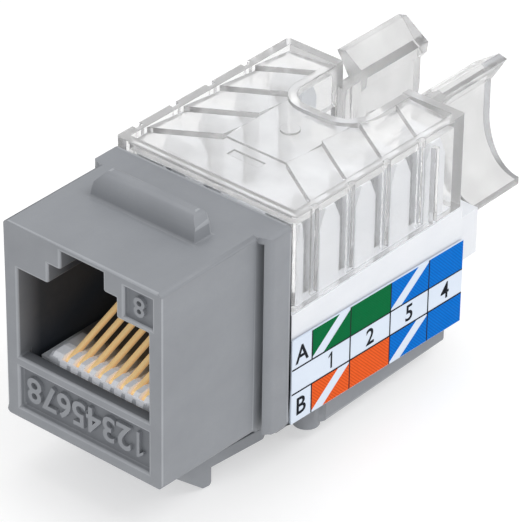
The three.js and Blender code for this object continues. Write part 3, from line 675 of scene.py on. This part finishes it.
def into_housing(point):
    """Moves the latch's root up into the nose."""
    p = layout_of(point)
    if p.z > LATCH_ROOT_LOWEST and p.y < LATCH_ROOT_BACK:
        return at(p.x, p.y, p.z + LATCH_ROOT_INTO)
    return point


latch = from_node("latch_arm", "latch_lever", GREY, 0.15, move=into_housing)
slice_across(latch, [at(0, 0, z) for z in LATCH_SLICES], (0, 0, 1))
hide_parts("latch_arm")
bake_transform(latch)

# ------------------------------------------------------------------ contact carrier
CONTACTS = 8
PITCH = 1.02
LIP_HALF = 4.1
LIP_PROFILE = [(1.84, 3.2), (2.08, 3.2), (2.08, 4.78), (2.01, 4.88), (1.94, 4.84), (1.84, 4.5)]
TOOTH = 0.46
END_TOOTH = 0.86
END_TOOTH_X = 4.27
TOOTH_PROFILE = [(2.0, 4.3), (4.0, 4.3), (4.0, 4.95), (3.2, 5.16), (2.3, 5.12), (2.0, 4.9)]


def spanning(name, profile, middle, width):
    """A profile in y and z, width mm wide, with its middle at x = middle."""
    place = axes(at(middle - width / 2, 0, 0), (0, 1, 0), (0, 0, 1))
    return prism(name, profile, place, width, PALE_FRONT_GLOWING)


comb = from_node("contact_carrier", "comb", PALE_SHADED, 0.05)
front = [spanning("lip", LIP_PROFILE, 0, 2 * LIP_HALF)]
for i in range(CONTACTS - 1):
    front.append(spanning("tooth", TOOTH_PROFILE, PITCH * (i + 1 - CONTACTS / 2), TOOTH))
for side in (-1, 1):
    front.append(spanning("tooth", TOOTH_PROFILE, side * END_TOOTH_X, END_TOOTH))
carrier = joined("contact_comb", [comb, *front])
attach(carrier, "base")
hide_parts("contact_carrier")

# ------------------------------------------------------------------ contacts
WIRE = 0.24  # radius
WIRE_SIDES = 16
END_NARROWING = 0.86
BEND = (2.78, 4.36)  # y and z of the front bend's centre
BEND_RADIUS = 0.42
RISE = math.radians(22.5)
LEG = 0.55
REACH = 10.9
LEG_STEPS = 3
BEND_STEPS = 16
FINGER_STEPS = 12


def contact_line():
    """The wire's middle line: a short lower leg, the front bend, and the rising finger."""
    y, z = BEND
    points = [Vector((0, y + LEG * (1 - t / LEG_STEPS), z - BEND_RADIUS)) for t in range(LEG_STEPS)]
    for t in range(BEND_STEPS + 1):
        angle = -math.pi / 2 - (math.pi - RISE) * t / BEND_STEPS
        points.append(
            Vector((0, y + BEND_RADIUS * math.cos(angle), z + BEND_RADIUS * math.sin(angle)))
        )
    top = points[-1]
    length = (REACH - top.y) / math.cos(RISE)
    for t in range(1, FINGER_STEPS + 1):
        along = length * t / FINGER_STEPS
        points.append(
            Vector((0, top.y + along * math.cos(RISE), top.z + along * math.sin(RISE)))
        )
    return points


def wire(name, x):
    """A round wire along the contact's middle line, slightly narrower at its ends."""
    line = contact_line()
    across = Vector((1, 0, 0))
    bm = bmesh.new()
    rings = []
    for i, p in enumerate(line):
        ahead = (line[min(i + 1, len(line) - 1)] - line[max(i - 1, 0)]).normalized()
        normal = ahead.cross(across).normalized()
        radius = WIRE * (END_NARROWING if i in (0, len(line) - 1) else 1)
        ring = []
        for k in range(WIRE_SIDES):
            angle = 2 * math.pi * k / WIRE_SIDES
            q = p + (across * math.cos(angle) + normal * math.sin(angle)) * radius
            ring.append(bm.verts.new(at(x + q.x, q.y, q.z)))
        rings.append(ring)
    for a, b in zip(rings, rings[1:]):
        for k in range(WIRE_SIDES):
            n = (k + 1) % WIRE_SIDES
            bm.faces.new((a[k], a[n], b[n], b[k]))
    bm.faces.new(rings[0])
    bm.faces.new(rings[-1])
    bmesh.ops.recalc_face_normals(bm, faces=bm.faces)
    mesh = bpy.data.meshes.new(name)
    bm.to_mesh(mesh)
    bm.free()
    return smooth(new_object(name, mesh, GOLD), 50)


for i in range(CONTACTS):
    number = i + 1
    piece = wire(f"contact_wire_{number}", ((CONTACTS - 1) / 2 - i) * PITCH)
    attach(piece, f"contact_{number}")
    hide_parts(f"contact_{number}")

# ------------------------------------------------------------------ block, terminals, board
block = from_node("idc_block", "wire_block", WHITE, 0.1)
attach(block, "base")
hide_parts("idc_block")

for side in ("left", "right"):
    for i in range(4):
        node = f"terminal_{side}_{i + 1}"
        blade = from_node(node, f"blade_{side}_{i + 1}", TIN, 0.04)
        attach(blade, "base")
        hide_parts(node)

NODES["circuit_board"].data.materials.clear()
NODES["circuit_board"].data.materials.append(LAMINATE)

# ------------------------------------------------------------------ clear cap and arms
DECK_LOWEST = 15.3  # faces above this belong to the cap's top
STEP_LOWEST = 15.9
RIM_INNER = 7.4
FROSTED_SLOT = 2
RISER_SHADE_SLOT = 3

cap = from_node("wire_cap", "clear_cap", (CLEAR, CLEAR_EDGE_SHADED), 0.07, angle=25)
cap.data.materials.append(FROSTED)
cap.data.materials.append(CLEAR_RISER_SHADED)
for face in cap.data.polygons:
    middle = layout_of(face.center)
    if face.material_index or middle.z <= DECK_LOWEST:
        continue
    if abs(face.normal.z) > 0.6:
        face.material_index = FROSTED_SLOT
    # faces of the top step that don't look up take the greyer plastic, painted shade
    elif abs(middle.x) < RIM_INNER and middle.z > STEP_LOWEST:
        face.material_index = RISER_SHADE_SLOT
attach(cap, "cap")
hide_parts("wire_cap")

CAP_REAR = 31.55
ARM_ROOT = 31.85
ARM_SLICES = (31.9, 32.15, 32.4, 32.65)


def to_cap(point):
    """Moves an arm's root onto the cap's rear face."""
    p = layout_of(point)
    return at(p.x, CAP_REAR - 0.02, p.z) if p.y < ARM_ROOT + 0.05 else point


for side in ("left", "right"):
    node = f"cable_arm_{side}"
    arm = from_node(node, f"clear_arm_{side}", (CLEAR_ARM, CLEAR_EDGE_SHADED), 0.08, move=to_cap)
    slice_across(arm, [at(0, y, 0) for y in ARM_SLICES], (0, 1, 0))
    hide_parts(node)
    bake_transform(arm)

# ------------------------------------------------------------------ labels
LABEL_INNER = 8.2
LABEL_FACE = 8.325  # the film's outer face; the ink stands to the CAD label's face
INK_FACE = 8.34
SLOPE = -0.04
LABEL_FRONT = 12.5
LABEL_REAR = 31.9
LABEL_TOP = 6.5
LABEL_BOTTOM = -0.55
COLUMNS = (14.7, 18.95, 23.5, 27.9)
ROW_LINES = (4.0, 1.94)
LINE = 0.12
MARGIN = 0.03
INK_SINK = 0.01  # how far the ink goes into the film
STRIPE = 1.24  # width of a cell's paper stripe along the label
CORNER = 0.15  # how far the stripe reaches up or down the cell's side
NUMBER_HEIGHT = 1.38
LETTER_HEIGHT = 1.45
LETTER_MIDDLES = (5.1, 0.7)
BOLD = 0.012


def label(side_name, sign, cells_a, cells_b, numbers):
    """A side label: rows A and B of colour cells, each a (material, striped) pair, with pin
    numbers between them. sign is the side's own, and cells run from the port end."""
    place = axes(at(0, 0, 0), (0, sign, 0), (0, 0, 1))

    def outline(points):
        """Points in y and z as they lie on the sloping label, with x to the reader's right."""
        return [(sign * u, v + SLOPE * (u - LABEL_FRONT)) for u, v in points]

    def plate(name, points, inner, outer, material):
        shifted = place.copy()
        shifted.translation = at(sign * inner, 0, 0)
        pts = outline(points)
        if sign < 0:
            pts.reverse()
        return prism(name, pts, shifted, outer - inner, material)

    parts = [
        plate(
            "film",
            [
                (LABEL_FRONT, LABEL_BOTTOM),
                (LABEL_REAR, LABEL_BOTTOM),
                (LABEL_REAR, LABEL_TOP),
                (LABEL_FRONT, LABEL_TOP),
            ],
            LABEL_INNER,
            LABEL_FACE,
            PAPER,
        )
    ]

    def ink(points, material):
        parts.append(plate("ink", points, LABEL_FACE - INK_SINK, INK_FACE, material))

    def bar(u0, v0, u1, v1, width=LINE):
        """A ruled line between two points."""
        along = Vector((u1 - u0, v1 - v0)).normalized()
        n = Vector((-along.y, along.x)) * width / 2
        ink(
            [
                (u0 - n.x, v0 - n.y),
                (u1 - n.x, v1 - n.y),
                (u1 + n.x, v1 + n.y),
                (u0 + n.x, v0 + n.y),
            ],
            INK_BLACK,
        )

    edge = LABEL_REAR - MARGIN
    half = LINE / 2
    row_a = (ROW_LINES[0] + half, LABEL_TOP - MARGIN)
    row_b = (LABEL_BOTTOM + MARGIN, ROW_LINES[1] - half)
    bounds = (*COLUMNS, edge)
    for (low, high), cells in ((row_a, cells_a), (row_b, cells_b)):
        for k, (material, striped) in enumerate(cells):
            left = bounds[k] + half
            right = bounds[k + 1] - (half if k < 3 else 0)
            if not striped:
                ink([(left, low), (right, low), (right, high), (left, high)], material)
                continue
            # a paper stripe from the lower port-end corner to the upper cable-end corner
            ink([(left, low + CORNER), (right - STRIPE, high), (left, high)], material)
            ink([(left + STRIPE, low), (right, low), (right, high - CORNER)], material)
    for column in COLUMNS[1:]:
        bar(column, LABEL_BOTTOM + MARGIN, column, LABEL_TOP - MARGIN)
    for low, high in (row_a, row_b):
        bar(COLUMNS[0], low, COLUMNS[0], high)
    for row in ROW_LINES:
        bar(LABEL_FRONT + MARGIN, row, edge, row)

    def character(text, u, v, height):
        spot = place.copy()
        spot.translation = at(sign * (LABEL_FACE - INK_SINK), u, v + SLOPE * (u - LABEL_FRONT))
        depth = INK_FACE - LABEL_FACE + INK_SINK
        parts.append(figure("ink", text, height, spot, depth, INK_BLACK, bold=BOLD))

    for k, number in enumerate(numbers):
        middle = (bounds[k] + bounds[k + 1]) / 2
        character(number, middle, sum(ROW_LINES) / 2, NUMBER_HEIGHT)
    for letter, v in zip("AB", LETTER_MIDDLES):
        character(letter, (LABEL_FRONT + COLUMNS[0]) / 2, v, LETTER_HEIGHT)
    piece = joined(f"label_sheet_{side_name}", parts)
    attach(piece, "base")
    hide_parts(f"label_{side_name}")


label(
    "right",
    1,
    ((INK_GREEN, True), (INK_GREEN, False), (INK_BLUE, True), (INK_BLUE, False)),
    ((INK_ORANGE, True), (INK_ORANGE, False), (INK_BLUE, True), (INK_BLUE, False)),
    "1254",
)
label(
    "left",
    -1,
    ((INK_ORANGE, True), (INK_ORANGE, False), (INK_BROWN, True), (INK_BROWN, False)),
    ((INK_GREEN, True), (INK_GREEN, False), (INK_BROWN, True), (INK_BROWN, False)),
    "3678",
)

# ------------------------------------------------------------------ floor, light, camera
FLOOR_HALF = 0.6  # metres
FLOOR_GAP = 0.05
FLOOR_GLOW = 0.46
WORLD_LIGHT = 0.7


def floor_material():
    """Pale and faintly glowing, so that it stays near white round the shadow."""
    s = Shader("studio_floor")
    tone = s.mixed(s.ranged(s.noise(40, 2), 0, 1), (0.58, 0.58, 0.58), (0.56, 0.56, 0.563))
    rough = s.ranged(s.noise(20, 2), 0.55, 0.65)
    white = (1.0, 1.0, 1.0, 1.0)
    return s.finish(
        s.principled(tone, rough, Emission_Color=white, Emission_Strength=FLOOR_GLOW)
    )


def studio_world():
    """Soft light from all round; where the camera sees past the floor, plain white."""
    world = bpy.data.worlds.new("studio")
    world.use_nodes = True
    nodes = world.node_tree.nodes
    links = world.node_tree.links
    soft = nodes["Background"]
    soft.inputs["Color"].default_value = (1.0, 1.0, 1.0, 1)
    soft.inputs["Strength"].default_value = WORLD_LIGHT
    bright = nodes.new("ShaderNodeBackground")
    bright.inputs["Color"].default_value = (1.0, 1.0, 1.0, 1)
    seen = nodes.new("ShaderNodeLightPath")
    choose = nodes.new("ShaderNodeMixShader")
    links.new(seen.outputs["Is Camera Ray"], choose.inputs[0])
    links.new(soft.outputs[0], choose.inputs[1])
    links.new(bright.outputs[0], choose.inputs[2])
    links.new(choose.outputs[0], nodes["World Output"].inputs["Surface"])
    return world


bm = bmesh.new()
bmesh.ops.create_grid(bm, x_segments=2, y_segments=2, size=FLOOR_HALF)
floor_mesh = bpy.data.meshes.new("floor")
bm.to_mesh(floor_mesh)
bm.free()
floor = new_object("floor", floor_mesh, floor_material())
floor.location.z = CAD_BOX[0].z - FLOOR_GAP * MM
bpy.context.scene.world = studio_world()
bpy.context.scene.view_settings.view_transform = "Standard"

LAMP_TARGET = (0, 0, 0.01)


def softbox(name, position, size, power):
    """A round area lamp, in metres and watts, aimed at the part."""
    lamp = bpy.data.lights.new(name, "AREA")
    lamp.shape = "DISK"
    lamp.size = size
    lamp.energy = power
    obj = bpy.data.objects.new(name, lamp)
    bpy.context.scene.collection.objects.link(obj)
    obj.location = position
    aim = Vector(LAMP_TARGET) - Vector(position)
    obj.rotation_euler = aim.to_track_quat("-Z", "Y").to_euler()


softbox("key", (0.16, 0.05, 0.24), 0.16, 0.24)
softbox("fill", (0.14, -0.24, 0.14), 0.2, 0.105)
softbox("top", (-0.08, 0.02, 0.3), 0.22, 0.2)

AZIMUTH = math.radians(39.965)
ELEVATION = math.radians(32.694)
ROLL = math.radians(0.856)
FOCAL_PIXELS = 3938.6
DISTANCE = 253.37
TARGET = (15.831, 0, 22.399)
FRAME_PIXELS = 522
SENSOR = 36  # mm

back = Vector(
    (
        math.sin(AZIMUTH) * math.cos(ELEVATION),
        -math.cos(AZIMUTH) * math.cos(ELEVATION),
        math.sin(ELEVATION),
    )
)
level = Vector((math.cos(AZIMUTH), math.sin(AZIMUTH), 0))
upright = back.cross(level)
right = level * math.cos(ROLL) + upright * math.sin(ROLL)
up = upright * math.cos(ROLL) - level * math.sin(ROLL)
lens = bpy.data.cameras.new("camera")
lens.sensor_width = SENSOR
lens.lens = FOCAL_PIXELS / FRAME_PIXELS * SENSOR
lens.clip_start = 0.01
camera = bpy.data.objects.new("camera", lens)
bpy.context.scene.collection.objects.link(camera)
turn = Matrix((right, up, back)).transposed().to_4x4()
turn.translation = at(*TARGET) + back * DISTANCE * MM
camera.matrix_world = turn
bpy.context.scene.camera = camera
